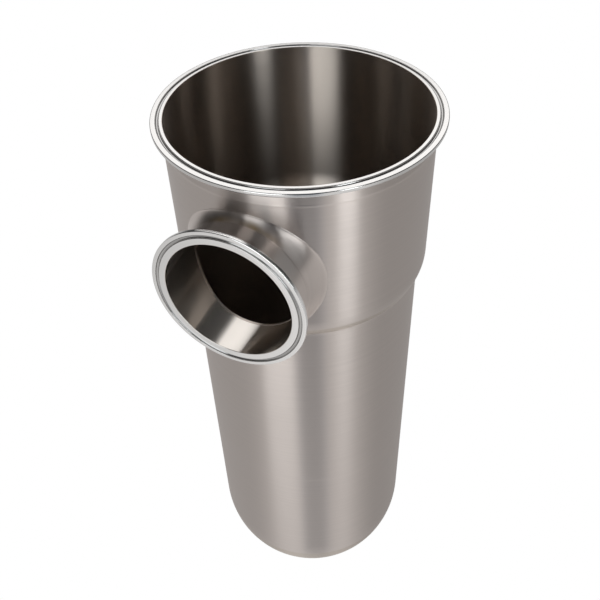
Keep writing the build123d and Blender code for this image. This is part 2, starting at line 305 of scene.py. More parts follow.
def feed(tree, socket, value):
    """Link a socket or set its value; None leaves it alone."""
    if isinstance(value, bpy.types.NodeSocket):
        tree.links.new(value, socket)
    elif value is not None:
        socket.default_value = value


def math_node(tree, operation, a, b=None, c=None, clamp=False):
    node = tree.nodes.new("ShaderNodeMath")
    node.operation = operation
    node.use_clamp = clamp
    for socket, value in zip(node.inputs, (a, b, c)):
        feed(tree, socket, value)
    return node.outputs[0]


def vector_math(tree, operation, a, b=None):
    node = tree.nodes.new("ShaderNodeVectorMath")
    node.operation = operation
    for socket, value in zip(node.inputs, (a, b)):
        feed(tree, socket, value)
    return node.outputs["Value" if operation in ("DOT_PRODUCT", "LENGTH") else "Vector"]


def noise(tree, vector, scale, detail):
    node = tree.nodes.new("ShaderNodeTexNoise")
    node.inputs["Scale"].default_value = scale
    node.inputs["Detail"].default_value = detail
    tree.links.new(vector, node.inputs["Vector"])
    return node.outputs[0]


def bump(tree, shader, height, strength, depth):
    node = tree.nodes.new("ShaderNodeBump")
    node.inputs["Strength"].default_value = strength
    node.inputs["Distance"].default_value = depth
    tree.links.new(height, node.inputs["Height"])
    tree.links.new(node.outputs["Normal"], shader.inputs["Normal"])


FINE_SCRATCHES = (25.0, 5200.0)  # noise per metre along and across the scratches
BROAD_STREAKS = (9.0, 420.0)
CLOUD_SCALE = 14.0


def brushed_group():
    """Grain of a surface brushed around its axis: fine scratches, broad streaks and soft clouds.

    The distance along the axis, less the distance from it, changes across the scratches; the cross
    product of position and axis changes along them. Each noise takes the first fast, the second slow.
    """
    group, gin, gout = new_group(
        "brushed_grain",
        [("Position", "NodeSocketVector", None), ("Axis", "NodeSocketVector", (0, 0, 1))],
        [("Fine", "NodeSocketFloat"), ("Streak", "NodeSocketFloat"), ("Cloud", "NodeSocketFloat")],
    )
    position, axis = gin.outputs["Position"], gin.outputs["Axis"]
    cross = vector_math(group, "CROSS_PRODUCT", position, axis)
    along = vector_math(group, "DOT_PRODUCT", position, axis)
    level = math_node(group, "SUBTRACT", along, vector_math(group, "LENGTH", cross))

    def lined(slow, fast, detail):
        """Noise that runs slowly along the scratches and fast across them."""
        apart = group.nodes.new("ShaderNodeCombineXYZ")
        group.links.new(math_node(group, "MULTIPLY", level, fast), apart.inputs["X"])
        beside = vector_math(group, "MULTIPLY", cross, (slow, slow, slow))
        return noise(group, vector_math(group, "ADD", beside, apart.outputs[0]), 1.0, detail)

    group.links.new(lined(*FINE_SCRATCHES, detail=2.0), gout.inputs["Fine"])
    group.links.new(lined(*BROAD_STREAKS, detail=3.0), gout.inputs["Streak"])
    group.links.new(noise(group, position, CLOUD_SCALE, detail=3.0), gout.inputs["Cloud"])
    return group


BRUSHED = brushed_group()


def widened(tree, value):
    """Widen the middle of a noise's range to 0..1."""
    return map_range(tree, value, 0.3, 0.7)


def map_range(tree, value, from_low, from_high, to_low=0.0, to_high=1.0, smooth=False):
    node = tree.nodes.new("ShaderNodeMapRange")
    if smooth:
        node.interpolation_type = "SMOOTHSTEP"
    tree.links.new(value, node.inputs["Value"])
    for label, limit in (
        ("From Min", from_low), ("From Max", from_high), ("To Min", to_low), ("To Max", to_high)
    ):
        node.inputs[label].default_value = limit
    return node.outputs[0]


def window(tree, value, rise, fall):
    """1 between two smooth edges, each given as where it starts and ends."""
    falling = map_range(tree, value, *fall, 1.0, 0.0, smooth=True)
    return math_node(tree, "MULTIPLY", map_range(tree, value, *rise, smooth=True), falling)


def mix_colour(tree, factor, a, b):
    node = tree.nodes.new("ShaderNodeMix")
    node.data_type = "RGBA"
    tree.links.new(factor, node.inputs["Factor"])
    for socket, value in ((node.inputs[6], a), (node.inputs[7], b)):
        feed(tree, socket, (*value, 1.0) if isinstance(value, tuple) else value)
    return node.outputs[2]


def mix_value(tree, factor, a, b):
    """a where the factor is 0, b where it is 1."""
    node = tree.nodes.new("ShaderNodeMix")
    for socket, value in ((node.inputs[0], factor), (node.inputs[2], a), (node.inputs[3], b)):
        feed(tree, socket, value)
    return node.outputs[0]


def plain_material(name, slot):
    material = bpy.data.materials.new(name)
    material.use_nodes = True
    material["slot"] = slot
    tree = material.node_tree
    return material, tree, tree.nodes["Principled BSDF"]


TONE_SPREAD, ROUGH_SPREAD = 0.05, 0.02
SCRATCH_DEPTH = 0.02 * MM
NECK_START, NECK_END = 5.5 * MM, 7.0 * MM  # behind a clamp face, where the shell's finish takes over
# where the painted groove shade fades out across the groove, and how far behind the face it reaches
GROOVE_SHADE_FADE = (0.9 * GROOVE_HALF, 1.1 * GROOVE_HALF)
GROOVE_SHADE_FLOOR = 1.2 * GROOVE_DEPTH
TINT_SCALE = 60.0
QUARTER_TURN = 0.25
FINISH_OVERRUN = 0.4 * MM      # how far a bore's finish reaches past its radius

SATIN = (0.625, 0.56, 0.522)
# One turned-ferrule finish in two copies: the mouth ferrule's colour is darker so its faces under the ceiling
# light read dimmer (painted shade), the ports' ferrules keep the lighter one; the polished wire shares the darker
# one
BRIGHT = (0.64, 0.625, 0.61)
PORT_BRIGHT = (0.80, 0.785, 0.77)
STRAW = (0.50, 0.38, 0.24)
# Bore colours: the chamber's is darker and browner than the shell, painted shade inside the chamber; the ports' is
# lighter, painted light lifting the highlight in their bores
BORE_SHADE_COLOUR = (0.555, 0.49, 0.435)
PORT_BORE_LIT_COLOUR = (0.69, 0.645, 0.60)
# painted shade: the gasket grooves of the clamp faces are painted darker than the ferrule steel
GROOVE_SHADE_COLOUR = (0.42, 0.41, 0.40)
BORE_ROUGH, PORT_BORE_ROUGH = 0.30, 0.20
MOUTH_BORE = CHAMBER_IN_R + FINISH_OVERRUN
BODY_BORE = BODY_IN_R + FINISH_OVERRUN
PORT_BORE = PORT_IN_R + FINISH_OVERRUN
TINT_FOOT = 0.75 * PORT_BORE   # height above a port's axis where a tint starts

BLOOM_SCALE, BLOOM_LIFT = 40.0, 1.8
RUBBER_ROUGH = (0.55, 0.7)
PIT_SCALE, PIT_DEPTH = 1800.0, 0.05 * MM
STRETCH = 0.99                 # anisotropy of the brushed shells


def steel(
    name, slot, colour, rough, anisotropy, scratch,
    axis=(0, 0, 1), centre=(0, 0, 0), bore_r=None, tint=None, face=None,
):
    """Brushed stainless: grain round the axis and highlights stretched across it.

    Inside bore_r from the axis the finish is that of the polished bore; its colour there is painted
    shade in the chamber and painted light in the ports. A tint is (place along the axis, half
    width): faint straw colour above a port, beside its weld. A face is (place of a clamp face along
    the axis, groove radius, neck roughness): its groove is painted darker, a painted shade, and its
    neck has the shell's finish.
    """
    material, tree, shader = plain_material(name, slot)
    place = tree.nodes.new("ShaderNodeTexCoord").outputs["Object"]
    position = vector_math(tree, "SUBTRACT", place, centre)
    grain = tree.nodes.new("ShaderNodeGroup")
    grain.node_tree = BRUSHED
    tree.links.new(position, grain.inputs["Position"])
    grain.inputs["Axis"].default_value = axis
    streak = widened(tree, grain.outputs["Streak"])
    cloud = widened(tree, grain.outputs["Cloud"])
    tone = math_node(tree, "MULTIPLY_ADD", streak, 0.5, math_node(tree, "MULTIPLY", cloud, 0.5), clamp=True)

    def varied(middle):
        """Roughness that follows the tone about its middle value."""
        return math_node(tree, "MULTIPLY_ADD", tone, 2 * ROUGH_SPREAD, middle - ROUGH_SPREAD)

    dark = tuple(c * (1 - TONE_SPREAD) for c in colour)
    light = tuple(min(1.0, c * (1 + TONE_SPREAD)) for c in colour)
    paint = mix_colour(tree, tone, dark, light)
    roughness = varied(rough)
    radius = vector_math(tree, "LENGTH", vector_math(tree, "CROSS_PRODUCT", position, axis))
    along = vector_math(tree, "DOT_PRODUCT", position, axis)
    if face is not None:
        face_place, groove_r, neck_rough = face
        depth = math_node(tree, "ABSOLUTE", math_node(tree, "SUBTRACT", along, face_place))
        # painted shade: the gasket groove, near the face, is painted darker
        from_groove = math_node(tree, "ABSOLUTE", math_node(tree, "SUBTRACT", radius, groove_r))
        groove = math_node(
            tree, "MULTIPLY", map_range(tree, from_groove, *GROOVE_SHADE_FADE, 1.0, 0.0),
            math_node(tree, "LESS_THAN", depth, GROOVE_SHADE_FLOOR),
        )
        paint = mix_colour(tree, groove, paint, GROOVE_SHADE_COLOUR)
        neck = map_range(tree, depth, NECK_START, NECK_END, smooth=True)
        paint = mix_colour(tree, neck, paint, SATIN)
        on_neck = math_node(tree, "MULTIPLY_ADD", tone, 2 * ROUGH_SPREAD, neck_rough)
        roughness = mix_value(tree, neck, roughness, on_neck)
    if bore_r is not None:
        # bore colour: painted shade in the chamber, painted light in the ports; the roughness is the bore's own
        # finish
        inside = math_node(tree, "LESS_THAN", radius, bore_r)
        paint = mix_colour(tree, inside, paint, BORE_SHADE_COLOUR if axis[2] else PORT_BORE_LIT_COLOUR)
        roughness = mix_value(tree, inside, roughness, varied(BORE_ROUGH if axis[2] else PORT_BORE_ROUGH))
    if tint is not None:
        away = math_node(tree, "ABSOLUTE", math_node(tree, "SUBTRACT", along, tint[0]))
        band = map_range(tree, away, 0.0, tint[1], 1.0, 0.0, smooth=True)
        height = vector_math(tree, "DOT_PRODUCT", position, (0, 0, 1))
        aloft = map_range(tree, height, TINT_FOOT, PORT_BORE)
        patch = math_node(tree, "MULTIPLY", widened(tree, noise(tree, position, TINT_SCALE, detail=2.0)), aloft)
        paint = mix_colour(tree, math_node(tree, "MULTIPLY", band, patch, clamp=True), paint, STRAW)
    feed(tree, shader.inputs["Base Color"], paint)
    feed(tree, shader.inputs["Roughness"], roughness)
    shader.inputs["Metallic"].default_value = 1.0
    if face is not None:
        anisotropy = mix_value(tree, math_node(tree, "MAXIMUM", neck, inside), anisotropy, STRETCH)
    feed(tree, shader.inputs["Anisotropic"], anisotropy)
    shader.inputs["Anisotropic Rotation"].default_value = QUARTER_TURN
    tree.links.new(vector_math(tree, "CROSS_PRODUCT", axis, position), shader.inputs["Tangent"])
    bump(tree, shader, grain.outputs["Fine"], scratch, SCRATCH_DEPTH)
    return material


def rubber(name, slot, colour):
    """Matt moulded rubber with a fine pitted surface and a dusty bloom."""
    material, tree, shader = plain_material(name, slot)
    place = tree.nodes.new("ShaderNodeTexCoord").outputs["Object"]
    bloom = widened(tree, noise(tree, place, BLOOM_SCALE, detail=4.0))
    dusty = tuple(c * BLOOM_LIFT for c in colour)
    tree.links.new(mix_colour(tree, bloom, colour, dusty), shader.inputs["Base Color"])
    tree.links.new(map_range(tree, bloom, 0.0, 1.0, *RUBBER_ROUGH), shader.inputs["Roughness"])
    bump(tree, shader, noise(tree, place, PIT_SCALE, detail=2.0), strength=0.3, depth=PIT_DEPTH)
    return material


WIRE_WAVE = 0.3                # how much a wire rises where it passes over another
WIRE_ROUGH, WIRE_DEPTH = 0.32, 0.2 * MM
GAP_SHADE = 0.12               # colour in the gaps, as a part of the wires'


def woven(name, slot, colour, radius, pitch):
    """Woven wire cloth round a tube: two sets of wires that pass over and under each other."""
    material, tree, shader = plain_material(name, slot)
    place = tree.nodes.new("ShaderNodeTexCoord").outputs["Object"]
    split = tree.nodes.new("ShaderNodeSeparateXYZ")
    tree.links.new(place, split.inputs[0])
    turn = math_node(tree, "ARCTAN2", split.outputs["Y"], split.outputs["X"])
    wires = round(TAU * radius / pitch / 2) * 2
    across = math_node(tree, "MULTIPLY", turn, wires / 2)
    up = math_node(tree, "MULTIPLY", split.outputs["Z"], math.pi / pitch)
    warp = math_node(tree, "ABSOLUTE", math_node(tree, "SINE", across))
    weft = math_node(tree, "ABSOLUTE", math_node(tree, "SINE", up))
    crossing = math_node(tree, "MULTIPLY", math_node(tree, "COSINE", across), math_node(tree, "COSINE", up))
    cloth = math_node(
        tree, "MAXIMUM", math_node(tree, "MULTIPLY_ADD", crossing, WIRE_WAVE, warp),
        math_node(tree, "MULTIPLY_ADD", crossing, -WIRE_WAVE, weft),
    )
    lift = map_range(tree, cloth, 0.55, 1.2)
    gap = tuple(c * GAP_SHADE for c in colour)
    tree.links.new(mix_colour(tree, lift, gap, colour), shader.inputs["Base Color"])
    shader.inputs["Metallic"].default_value = 1.0
    shader.inputs["Roughness"].default_value = WIRE_ROUGH
    bump(tree, shader, lift, strength=0.6, depth=WIRE_DEPTH)
    return material


PORT_AXIS = (0, 1, 0)
INLET_CENTRE = (0, 0, INLET_Z)
OUTLET_CENTRE = (0, 0, OUTLET_Z)
SHELL_ROUGH = TUBE_ROUGH = 0.34
TUBE_SETTINGS = dict(rough=TUBE_ROUGH, anisotropy=STRETCH, scratch=0.06, axis=PORT_AXIS, bore_r=PORT_BORE)
RIM_SETTINGS = dict(rough=0.15, anisotropy=0.5, scratch=0.03)
WELD_SETTINGS = dict(rough=0.34, anisotropy=0.95, scratch=0.05)
SHELL_SETTINGS = dict(rough=SHELL_ROUGH, anisotropy=STRETCH, scratch=0.06)
BASKET_SETTINGS = dict(rough=0.3, anisotropy=0.7, scratch=0.06)
STRAW_PLACE, STRAW_HALF = -105.5 * MM, 3.4 * MM
WEAVE_PITCH = 1.2 * MM

upper_steel = steel("upper_shell_steel", "brushed_shell", SATIN, bore_r=MOUTH_BORE, **SHELL_SETTINGS)
lower_steel = steel("lower_shell_steel", "brushed_shell", SATIN, bore_r=BODY_BORE, **SHELL_SETTINGS)
inlet_steel = steel("inlet_tube_steel", "brushed_tube", SATIN, centre=INLET_CENTRE, **TUBE_SETTINGS)
outlet_steel = steel("outlet_tube_steel", "brushed_tube", SATIN, centre=OUTLET_CENTRE, **TUBE_SETTINGS)
# the mouth ferrule takes the darker ferrule colour: painted shade on its faces under the ceiling light
rim_steel = steel(
    "mouth_ferrule_steel", "turned_ferrule", BRIGHT, bore_r=MOUTH_BORE, face=(0.0, MOUTH_GROOVE_R, SHELL_ROUGH),
    **RIM_SETTINGS,
)
inlet_rim_steel = steel(
    "inlet_ferrule_steel", "turned_ferrule", PORT_BRIGHT, axis=PORT_AXIS, centre=INLET_CENTRE, bore_r=PORT_BORE,
    face=(-INLET_FACE, PORT_GROOVE_R, TUBE_ROUGH), **RIM_SETTINGS,
)
outlet_rim_steel = steel(
    "outlet_ferrule_steel", "turned_ferrule", PORT_BRIGHT, axis=PORT_AXIS, centre=OUTLET_CENTRE, bore_r=PORT_BORE,
    face=(OUTLET_FACE, PORT_GROOVE_R, TUBE_ROUGH), **RIM_SETTINGS,
)
mouth_weld_steel = steel("mouth_weld_steel", "ground_weld", SATIN, bore_r=MOUTH_BORE, **WELD_SETTINGS)
weld_steel = steel("weld_steel", "ground_weld", SATIN, bore_r=BODY_BORE, **WELD_SETTINGS)
inlet_weld_steel = steel(
    "inlet_weld_steel", "ground_weld", SATIN, axis=PORT_AXIS, centre=INLET_CENTRE, bore_r=PORT_BORE,
    tint=(STRAW_PLACE, STRAW_HALF), **WELD_SETTINGS,
)
outlet_weld_steel = steel(
    "outlet_weld_steel", "ground_weld", SATIN, axis=PORT_AXIS, centre=OUTLET_CENTRE, bore_r=PORT_BORE,
    **WELD_SETTINGS,
)
basket_steel = steel("basket_steel", "basket_steel", SATIN, **BASKET_SETTINGS)
perforated_steel = steel("perforated_steel", "perforated_sheet", SATIN, **BASKET_SETTINGS)
wire_steel = steel("wire_steel", "polished_wire", BRIGHT, rough=0.16, anisotropy=0.0, scratch=0.02)
gasket_rubber = rubber("gasket_rubber", "gasket_rubber", (0.022, 0.022, 0.024))
mesh_steel = woven("mesh_steel", "woven_mesh", (0.50, 0.48, 0.46), high("basket_liner")[0], WEAVE_PITCH)


# --- housing ---------------------------------------------------------------------
def mouth_ferrule():
    outline = ferrule_outline(CHAMBER_IN_R, CHAMBER_R, MOUTH_RIM_R, MOUTH_GROOVE_R, -low("top_ferrule")[2])
    make_piece("mouth_ferrule", [turned(outline)], rim_steel, "housing", "top_ferrule", crease=60)


def port_ferrule(name, node, face, centre_z, axis, finish):
    length = high(node)[1] - low(node)[1]
    outline = ferrule_outline(PORT_IN_R, PORT_R, PORT_RIM_R, PORT_GROOVE_R, length)
    sign = 1 if axis == "Y" else -1
    surface = turned(outline, PORT_ROUND, (0, sign * face, centre_z), axis)
    make_piece(name, [surface], finish, "housing", node, crease=60)


def plain_ring(name, node, inner_r, outer_r, finish, crown=0.0, body="housing"):
    """Ring from its node's heights: square section, with an optional low crown outside."""
    bottom, top = low(node)[2], high(node)[2]
    t = np.linspace(0, math.pi, 7)
    side = np.stack([outer_r + crown * np.sin(t), bottom + (top - bottom) * (1 - np.cos(t)) / 2], -1)
    outline = np.concatenate([[(inner_r, bottom)], side, [(inner_r, top)]])
    return make_piece(name, [turned(outline)], finish, body, node)


def upper_shell():
    straight = np.linspace(CHAMBER_TOP_Z, SHOULDER_TOP_Z, 37)
    turn = np.linspace(0, BEND_ANGLE, 15)[1:]
    outer_bend, inner_bend = SHOULDER_BEND_R, SHOULDER_BEND_R - WALL
    outer_z = np.concatenate([straight, SHOULDER_TOP_Z - outer_bend * np.sin(turn)])
    inner_z = np.concatenate([straight, SHOULDER_TOP_Z - inner_bend * np.sin(turn)])
    settings = dict(
        port_z=INLET_Z, hole_r=PORT_IN_R, side=-1, half_width=math.radians(52), across=72, rings=22, around=200
    )
    outer, *outer_loops, _ = ported_skin(lambda z: chamber_radius(z, CHAMBER_R), outer_z, **settings)
    inner, *inner_loops, _ = ported_skin(lambda z: chamber_radius(z, CHAMBER_IN_R), inner_z, **settings)
    walls = [bridge(a, b) for a, b in zip(outer_loops, inner_loops)]
    make_piece("upper_body", outer + inner + walls, upper_steel, "housing", "upper_shell")


def lower_shell():
    rows = np.linspace(low("lower_shell")[2], high("lower_shell")[2], 40)
    outline = [(BODY_R, z) for z in rows] + [(BODY_IN_R, z) for z in rows[::-1]]
    make_piece("lower_body", [turned(outline)], lower_steel, "housing", "lower_shell")


def bottom_cup():
    top = high("bottom_cup")[2]
    rows = np.linspace(top, CUP_SPRING_Z, 45)
    settings = dict(
        port_z=OUTLET_Z, hole_r=PORT_IN_R, side=1, half_width=math.radians(55), across=72, rings=20, around=190
    )
    t = np.linspace(0, math.pi / 2, 49)[:, None]
    parts, holes, tops = [], [], []
    for radius in (BODY_R, BODY_IN_R):
        skins, hole, upper, _, angles = ported_skin(lambda z: np.full(np.shape(z), radius), rows, **settings)
        parts += skins
        holes.append(hole)
        tops.append(upper)
        r = radius * np.cos(t)
        z = np.broadcast_to(CUP_SPRING_Z - radius * np.sin(t), (len(t), len(angles)))
        parts.append((np.stack([r * np.sin(angles), r * np.cos(angles), z], -1), quads(len(t), len(angles), True)))
    parts += [bridge(*holes), bridge(*tops)]
    make_piece("domed_cup", parts, lower_steel, "housing", "bottom_cup")


def root_y(radius_at, hole_r, t, centre_z, side):
    """Where a tube of this radius along the port meets the wall outside: y = side * sqrt(R(z)^2 - x^2)."""
    z = centre_z + hole_r * np.sin(t)
    return side * np.sqrt(radius_at(z) ** 2 - (hole_r * np.cos(t)) ** 2)


def port_point(radius, t, y, centre_z):
    return np.stack([radius * np.cos(t), y, centre_z + radius * np.sin(t)], -1)


def port_neck(name, node, radius_at, centre_z, side, end, finish):
    """Set-on neck: a tube from its weld down to the wall, inside and out."""
    t = np.arange(PORT_ROUND) * TAU / PORT_ROUND
    loops = []
    steps = np.linspace(0, 1, 9)[:, None]
    for radius in (PORT_R, PORT_IN_R):
        root = root_y(radius_at, radius, t, centre_z, side)
        y = side * end + (root - side * end) * steps
        loops.append(port_point(radius, np.broadcast_to(t, y.shape), y, centre_z))
    outer, inner = loops
    whole = np.concatenate([outer, inner[::-1], outer[:1]])
    make_piece(name, [(whole, quads(len(whole), PORT_ROUND, True))], finish, "housing", node)


NECK_LEG, WALL_LEG, OUTLET_LEG = 16.0 * MM, 5.6 * MM, 3.5 * MM
BEND_OUT, BEND_ALONG = 0.30, 0.22  # where the flare's bend lies, towards its toe and its start
TOE_BEAD = 0.45 * MM
BEAD_PLACE, BEAD_HALF = 0.965, 0.03  # of the way from start to toe
BEAD_END_POWER = 24            # how late the bead sinks to the wall
START_GAP = 0.2 * MM           # kept between the flare and the neck's end
CROWN = 0.06 * MM


def branch_weld(name, node, radius_at, centre_z, side, neck_leg, wall_leg, neck_end, finish):
    """Ground flare round a port's root: it leaves the neck gently, turns out to the wall, and ends in a bead.

    Point(s) = (1-s)^2 start + 2s(1-s) bend + s^2 toe, plus the bead's height out of the wall, closed
    under the wall's surface. The start lies on the neck, at most neck_leg from the root.
    """
    t = np.arange(PORT_ROUND) * TAU / PORT_ROUND
    s = np.linspace(0, 1, 33)[:, None]
    root = port_point(PORT_R, t, root_y(radius_at, PORT_R, t, centre_z, side), centre_z)
    toe_r = PORT_R + wall_leg
    toe = port_point(toe_r, t, root_y(radius_at, toe_r, t, centre_z, side), centre_z)
    start = root.copy()
    start[:, 1] = side * np.minimum(np.abs(root[:, 1]) + neck_leg, neck_end - START_GAP)
    bend = root + BEND_OUT * (toe - root) + BEND_ALONG * (start - root)
    curve = ((1 - s) ** 2)[..., None] * start + (2 * s * (1 - s))[..., None] * bend + (s**2)[..., None] * toe
    bead = TOE_BEAD * np.exp(-(((s - BEAD_PLACE) / BEAD_HALF) ** 2)) * (1 - s**BEAD_END_POWER)
    curve = curve + bead[..., None] * (0.0, side, 0.0)
    whole = np.concatenate([curve, root[None], curve[:1]])
    make_piece(name, [(whole, quads(len(whole), PORT_ROUND, True))], finish, "housing", node, crease=60)


def port_weld(name, node, centre_z, finish):
    """Ground ring between neck and ferrule, with a very low crown."""
    start, end = low(node)[1], high(node)[1]
    t = np.linspace(0, math.pi, 7)
    side = np.stack([PORT_R + CROWN * np.sin(t), start + (end - start) * (1 - np.cos(t)) / 2], -1)
    outline = np.concatenate([[(PORT_IN_R, start)], side, [(PORT_IN_R, end)]])
    make_piece(name, [turned(outline, PORT_ROUND, (0, 0, centre_z), "Y")], finish, "housing", node)


def chamber_outside(z):
    return chamber_radius(z, CHAMBER_R)


def cup_outside(z):
    return np.full(np.shape(z), BODY_R)


mouth_ferrule()
plain_ring("mouth_weld", "top_ferrule_weld", CHAMBER_IN_R, CHAMBER_R, mouth_weld_steel, 0.05 * MM)
upper_shell()
plain_ring("shoulder_seam", "shoulder_weld", BODY_IN_R, BODY_R, weld_steel)
lower_shell()
plain_ring("girth_seam", "girth_weld", BODY_IN_R, BODY_R, weld_steel, 0.02 * MM)
bottom_cup()
port_ferrule("inlet_clamp_ferrule", "inlet_ferrule", INLET_FACE, INLET_Z, "-Y", inlet_rim_steel)
port_ferrule("outlet_clamp_ferrule", "outlet_ferrule", OUTLET_FACE, OUTLET_Z, "Y", outlet_rim_steel)
port_weld("inlet_ring_weld", "inlet_ferrule_weld", INLET_Z, inlet_weld_steel)
port_weld("outlet_ring_weld", "outlet_ferrule_weld", OUTLET_Z, outlet_weld_steel)
port_neck("inlet_tube", "inlet_neck", chamber_outside, INLET_Z, -1, -low("inlet_neck")[1], inlet_steel)
port_neck("outlet_tube", "outlet_neck", cup_outside, OUTLET_Z, 1, high("outlet_neck")[1], outlet_steel)
branch_weld(
    "inlet_root_weld", "inlet_branch_weld", chamber_outside, INLET_Z, -1, NECK_LEG, WALL_LEG,
    -low("inlet_neck")[1], inlet_weld_steel,
)
branch_weld(
    "outlet_root_weld", "outlet_branch_weld", cup_outside, OUTLET_Z, 1, OUTLET_LEG, OUTLET_LEG,
    high("outlet_neck")[1], outlet_weld_steel,
)


def capped(loops):
    """Faces along a stack of closed loops, each end closed by a fan to its loop's middle."""
    loops = np.asarray(loops, float)
    first, last = (np.broadcast_to(loops[k].mean(0), loops[k].shape)[None] for k in (0, -1))
    whole = np.concatenate([first, loops, last])
    return whole, quads(len(whole), loops.shape[1], True)


def seam(name, node, profile, turn):
    """Upright weld strip: a low crown, 2 mm wide, standing on the wall along a (radius, height) profile."""
    half, proud, bed = 1.0 * MM, 0.07 * MM, 0.5 * MM
    u = np.linspace(-1, 1, 7)
    crown = np.stack([u * half, proud * (1 - u**2)], -1)
    section = np.concatenate([crown, [(half, -bed), (-half, -bed)]])
    profile = np.asarray(profile, float)
    out = section[:, 1] + profile[:, :1]
    side = np.broadcast_to(section[:, 0], out.shape)
    height = np.broadcast_to(profile[:, 1:], out.shape)
    c, s = math.cos(turn), math.sin(turn)
    points = np.stack([side * c - out * s, side * s + out * c, height], -1)
    make_piece(name, [capped(points)], weld_steel, "housing", node)


upper_heights = np.concatenate([
    [CHAMBER_TOP_Z, SHOULDER_TOP_Z], SHOULDER_TOP_Z - SHOULDER_BEND_R * np.sin(np.linspace(0, BEND_ANGLE, 15)[1:])
])
upper_profile = np.stack([chamber_outside(upper_heights), upper_heights], -1)
seam("upper_seam", "upper_seam_weld", upper_profile, UPPER_SEAM_TURN)
lower_profile = [(BODY_R, high("lower_shell")[2]), (BODY_R, low("lower_shell")[2])]
seam("lower_seam", "lower_seam_weld", lower_profile, LOWER_SEAM_TURN)


# --- seat and basket -----------------------------------------------------------------
def ring_piece(name, node, finish, body, inner_r, round_top=0.3 * MM, round_low=0.3 * MM):
    """Flat ring from its node's box, with its edges eased."""
    bottom, top, outer_r = low(node)[2], high(node)[2], high(node)[0]
    outline = rounded(
        [(inner_r, bottom), (outer_r, bottom), (outer_r, top), (inner_r, top)],
        [round_low, round_low, round_top, round_top],
    )
    make_piece(name, [turned(outline)], finish, body, node, crease=50)


SEAT_INNER_R = 85.0 * MM
GASKET_INNER_R = 86.0 * MM
LINER_WALL = 0.8 * MM
LINER_IN_R = high("basket_liner")[0] - LINER_WALL
SLEEVE_R = high("basket_sleeve")[0]
SLEEVE_WALL = 1.0 * MM

ring_piece("seat_ledge", "seat_ring", basket_steel, "housing", SEAT_INNER_R)
ring_piece("seat_gasket_ring", "seat_gasket", gasket_rubber, "housing", GASKET_INNER_R, 0.6 * MM, 0.1 * MM)
ring_piece("basket_rim_ring", "basket_rim", basket_steel, "basket", LINER_IN_R, 1.0 * MM, 0.2 * MM)
for hoop in ("upper", "middle", "lower"):
    ring_piece(f"hoop_{hoop}", f"basket_hoop_{hoop}", basket_steel, "basket", SLEEVE_R, 0.4 * MM, 0.4 * MM)


def seat_weld():
    """Concave bead under the seat ledge."""
    top, bottom, wall = high("seat_ring_weld")[2], low("seat_ring_weld")[2], high("seat_ring_weld")[0]
    leg = top - bottom
    s = np.linspace(0, 1, 9)[:, None]
    bend = (wall - 0.25 * leg, top - 0.25 * leg)
    bead = (1 - s) ** 2 * (wall, bottom) + 2 * s * (1 - s) * bend + s**2 * (wall - leg, top)
    outline = np.concatenate([bead, [(wall, top)]])
    make_piece("seat_bead", [turned(outline)], weld_steel, "housing", "seat_ring_weld")


seat_weld()


def square_loop(count):
    """Points round a square of half side 1, count to a side, from its lower right corner up."""
    u, one = np.linspace(-1, 1, count + 1)[:-1], np.ones(count)
    return np.concatenate([np.stack(side, -1) for side in ((one, u), (-u, one), (-one, -u), (u, -one))])


HOLE_PITCH, HOLE_R = 8.0 * MM, 2.75 * MM
CELL_SIDE = 4                  # points to a side of one cell of perforated sheet


def perforated(centres, half_u, half_v, hole_r, place, low_side, high_side):
    """Perforated sheet: round each centre (u, v) a cell with a round hole, on both sides, and the hole's wall.

    The cell's edge is the rectangle half_u x half_v and its hole is a circle; place(u, v, w) puts a
    point of the flat sheet, at depth w, where it belongs.
    """
    edge = square_loop(CELL_SIDE)
    angle = np.arctan2(edge[:, 1] * half_v, edge[:, 0] * half_u)
    hole = np.stack([np.cos(angle), np.sin(angle)], -1) * hole_r
    rim = edge * (half_u, half_v)
    count = len(edge)
    centres = np.asarray(centres, float)
    loops = [(rim, high_side), (hole, high_side), (hole, low_side), (rim, low_side)]
    layers = []
    for loop, depth in loops:
        uv = centres[:, None, :] + loop[None]
        layers.append(place(uv[..., 0], uv[..., 1], depth))
    points = np.stack(layers, 1)
    cell = quads(len(loops), count, True)
    faces = (np.arange(len(centres)) * len(loops) * count)[:, None, None] + cell[None]
    return points.reshape(-1, 3), faces.reshape(-1, 4)


def level_loop(radius, turn, z):
    return np.stack([radius * np.cos(turn), radius * np.sin(turn), np.full(len(turn), z)], -1)


def perforated_sleeve():
    """Rolled sheet with staggered round holes, between plain bands at the rim and the floor."""
    bottom, top = low("basket_sleeve")[2], high("basket_sleeve")[2]
    row_gap, margin = 7.0 * MM, 5.0 * MM
    holes = round(TAU * SLEEVE_R / HOLE_PITCH)
    rows = int((top - bottom - 2 * margin) / row_gap)
    start = (top + bottom) / 2 - rows * row_gap / 2
    step = TAU / holes
    centres = [
        ((k + 0.5 * (row % 2)) * step * SLEEVE_R, start + (row + 0.5) * row_gap)
        for row in range(rows) for k in range(holes)
    ]

    def place(u, v, w):
        return np.stack([w * np.cos(u / SLEEVE_R), w * np.sin(u / SLEEVE_R), v], -1)

    inner_r = SLEEVE_R - SLEEVE_WALL
    parts = [perforated(centres, step * SLEEVE_R / 2, row_gap / 2, HOLE_R, place, inner_r, SLEEVE_R)]
    turn = np.arange(holes * CELL_SIDE) * step / CELL_SIDE
    for near, far in ((start, bottom), (start + rows * row_gap, top)):
        loops = [(SLEEVE_R, near), (SLEEVE_R, far), (inner_r, far), (inner_r, near)]
        band = np.stack([level_loop(r, turn, z) for r, z in loops])
        parts.append((band, quads(len(loops), len(turn), True)))
    make_piece("sleeve_sheet", parts, perforated_steel, "basket", "basket_sleeve", crease=40)


